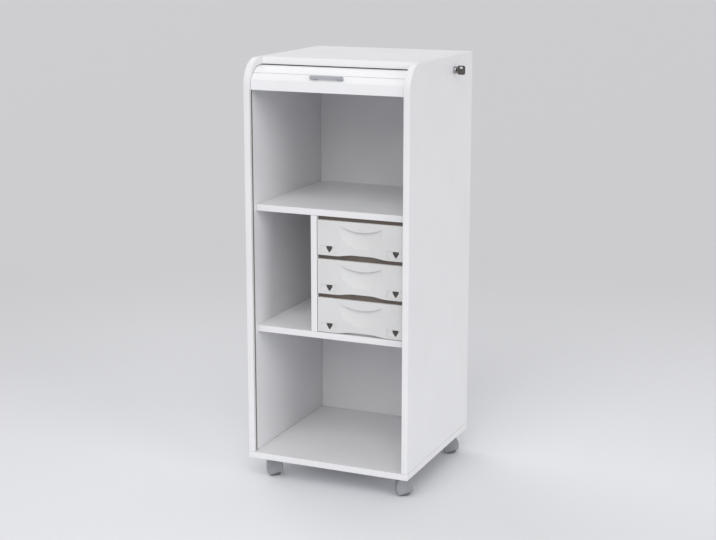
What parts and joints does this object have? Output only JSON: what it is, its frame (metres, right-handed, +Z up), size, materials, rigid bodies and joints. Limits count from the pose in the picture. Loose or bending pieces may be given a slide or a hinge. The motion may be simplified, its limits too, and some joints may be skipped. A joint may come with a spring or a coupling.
{
  "type": "mobile roller-shutter filing cabinet",
  "caption": "Tall white filing cabinet on castors with a roller shutter pushed up under its rounded top, open shelves and an insert of moulded drawers.",
  "frame": {"origin": "on the floor, under the middle of the whole object with its key", "axes": "+Z up, -Y towards the open front, +X towards the side panel with the lock"},
  "size_m": [0.512, 0.48, 1.184],
  "materials": {
    "white_melamine": "white melamine faced chipboard, fine satin grain",
    "white_fibreboard": "white lacquered fibreboard, satin",
    "white_slat_pvc": "white extruded plastic, satin",
    "off_white_polystyrene": "off-white moulded plastic, fine satin",
    "brown_grey_polystyrene": "brown-grey moulded plastic, satin",
    "dark_insert_polystyrene": "near-black moulded plastic, satin",
    "grey_runner_nylon": "grey moulded plastic, satin",
    "satin_aluminium": "satin anodised aluminium",
    "zinc_plated_steel": "bright zinc plated steel",
    "chromed_zinc": "polished chrome plating",
    "black_key_plastic": "black moulded plastic, satin",
    "grey_castor_nylon": "light grey moulded nylon, satin",
    "dark_grey_tread": "dark grey moulded nylon, matt"
  },
  "bodies": {
    "carcass": {"base_panel": "white_melamine", "left_side_panel": "white_melamine", "right_side_panel": "white_melamine", "top_panel": "white_melamine", "upper_shelf": "white_melamine", "lower_shelf": "white_melamine", "divider_panel": "white_melamine", "inner_back_panel": "white_fibreboard", "outer_back_panel": "white_fibreboard", "front_hanging_rail": "zinc_plated_steel", "rear_hanging_rail": "zinc_plated_steel", "shutter_curtain": "white_slat_pvc", "lower_left_runner": "grey_runner_nylon", "lower_right_runner": "grey_runner_nylon", "middle_left_runner": "grey_runner_nylon", "middle_right_runner": "grey_runner_nylon", "upper_left_runner": "grey_runner_nylon", "upper_right_runner": "grey_runner_nylon", "housing_lower_shelf": "brown_grey_polystyrene", "housing_middle_shelf": "brown_grey_polystyrene", "housing_top": "brown_grey_polystyrene", "housing_floor": "off_white_polystyrene", "lock_barrel": "chromed_zinc", "lock_nut": "chromed_zinc", "front_left_castor_socket": "grey_castor_nylon", "front_right_castor_socket": "grey_castor_nylon", "rear_left_castor_socket": "grey_castor_nylon", "rear_right_castor_socket": "grey_castor_nylon"},
    "shutter": {"shutter_end_bar": "white_slat_pvc"},
    "handle_slat": {"handle_slat": "white_slat_pvc", "shutter_handle": "satin_aluminium"},
    "drawer_lower": {"drawer_lower": "off_white_polystyrene", "drawer_lower_left_insert": "dark_insert_polystyrene", "drawer_lower_right_insert": "dark_insert_polystyrene"},
    "drawer_middle": {"drawer_middle": "off_white_polystyrene", "drawer_middle_left_insert": "dark_insert_polystyrene", "drawer_middle_right_insert": "dark_insert_polystyrene"},
    "drawer_upper": {"drawer_upper": "off_white_polystyrene", "drawer_upper_left_insert": "dark_insert_polystyrene", "drawer_upper_right_insert": "dark_insert_polystyrene"},
    "lock": {"lock_plug": "chromed_zinc", "lock_cam": "zinc_plated_steel", "key": "black_key_plastic"},
    "front_left_castor": {"front_left_castor_hood": "grey_castor_nylon", "front_left_axle": "zinc_plated_steel"},
    "front_left_wheels": {"front_left_left_wheel": "dark_grey_tread", "front_left_right_wheel": "dark_grey_tread"},
    "front_right_castor": {"front_right_castor_hood": "grey_castor_nylon", "front_right_axle": "zinc_plated_steel"},
    "front_right_wheels": {"front_right_left_wheel": "dark_grey_tread", "front_right_right_wheel": "dark_grey_tread"},
    "rear_left_castor": {"rear_left_castor_hood": "grey_castor_nylon", "rear_left_axle": "zinc_plated_steel"},
    "rear_left_wheels": {"rear_left_left_wheel": "dark_grey_tread", "rear_left_right_wheel": "dark_grey_tread"},
    "rear_right_castor": {"rear_right_castor_hood": "grey_castor_nylon", "rear_right_axle": "zinc_plated_steel"},
    "rear_right_wheels": {"rear_right_left_wheel": "dark_grey_tread", "rear_right_right_wheel": "dark_grey_tread"}
  },
  "joints": [
    {"name": "shutter_slide", "type": "slide", "parent": "carcass", "child": "shutter", "axis": [0, 0, 1], "range_m": [-1.018, 0], "deforming": ["shutter_curtain"]},
    {"name": "handle_slat_fold", "type": "hinge", "parent": "shutter", "child": "handle_slat", "pos_m": [-0.016, -0.2255, 1.13], "axis": [-1, 0, 0], "range_deg": [-41.9, 0]},
    {"name": "drawer_lower_slide", "type": "slide", "parent": "carcass", "child": "drawer_lower", "axis": [0, -1, 0], "range_m": [0, 0.25]},
    {"name": "drawer_middle_slide", "type": "slide", "parent": "carcass", "child": "drawer_middle", "axis": [0, -1, 0], "range_m": [0, 0.25]},
    {"name": "drawer_upper_slide", "type": "slide", "parent": "carcass", "child": "drawer_upper", "axis": [0, -1, 0], "range_m": [0, 0.25]},
    {"name": "key_turn", "type": "hinge", "parent": "carcass", "child": "lock", "pos_m": [0.224, 0.088, 1.144], "axis": [1, 0, 0], "range_deg": [-90, 0]},
    {"name": "front_left_swivel", "type": "hinge", "parent": "carcass", "child": "front_left_castor", "pos_m": [-0.214, -0.186, 0.054], "axis": [0, 0, 1], "continuous": true},
    {"name": "front_left_roll", "type": "hinge", "parent": "front_left_castor", "child": "front_left_wheels", "pos_m": [-0.20552, -0.1807, 0.02], "axis": [0.5299, -0.848, 0], "continuous": true},
    {"name": "front_right_swivel", "type": "hinge", "parent": "carcass", "child": "front_right_castor", "pos_m": [0.182, -0.186, 0.054], "axis": [0, 0, 1], "continuous": true},
    {"name": "front_right_roll", "type": "hinge", "parent": "front_right_castor", "child": "front_right_wheels", "pos_m": [0.19048, -0.1807, 0.02], "axis": [0.5299, -0.848, 0], "continuous": true},
    {"name": "rear_left_swivel", "type": "hinge", "parent": "carcass", "child": "rear_left_castor", "pos_m": [-0.214, 0.186, 0.054], "axis": [0, 0, 1], "continuous": true},
    {"name": "rear_left_roll", "type": "hinge", "parent": "rear_left_castor", "child": "rear_left_wheels", "pos_m": [-0.20552, 0.1913, 0.02], "axis": [0.5299, -0.848, 0], "continuous": true},
    {"name": "rear_right_swivel", "type": "hinge", "parent": "carcass", "child": "rear_right_castor", "pos_m": [0.182, 0.186, 0.054], "axis": [0, 0, 1], "continuous": true},
    {"name": "rear_right_roll", "type": "hinge", "parent": "rear_right_castor", "child": "rear_right_wheels", "pos_m": [0.19048, 0.1913, 0.02], "axis": [0.5299, -0.848, 0], "continuous": true}
  ],
  "couplings": [
    {"joint": "handle_slat_fold", "follows": "shutter_slide", "rad_per_m": 0.71768}
  ]
}
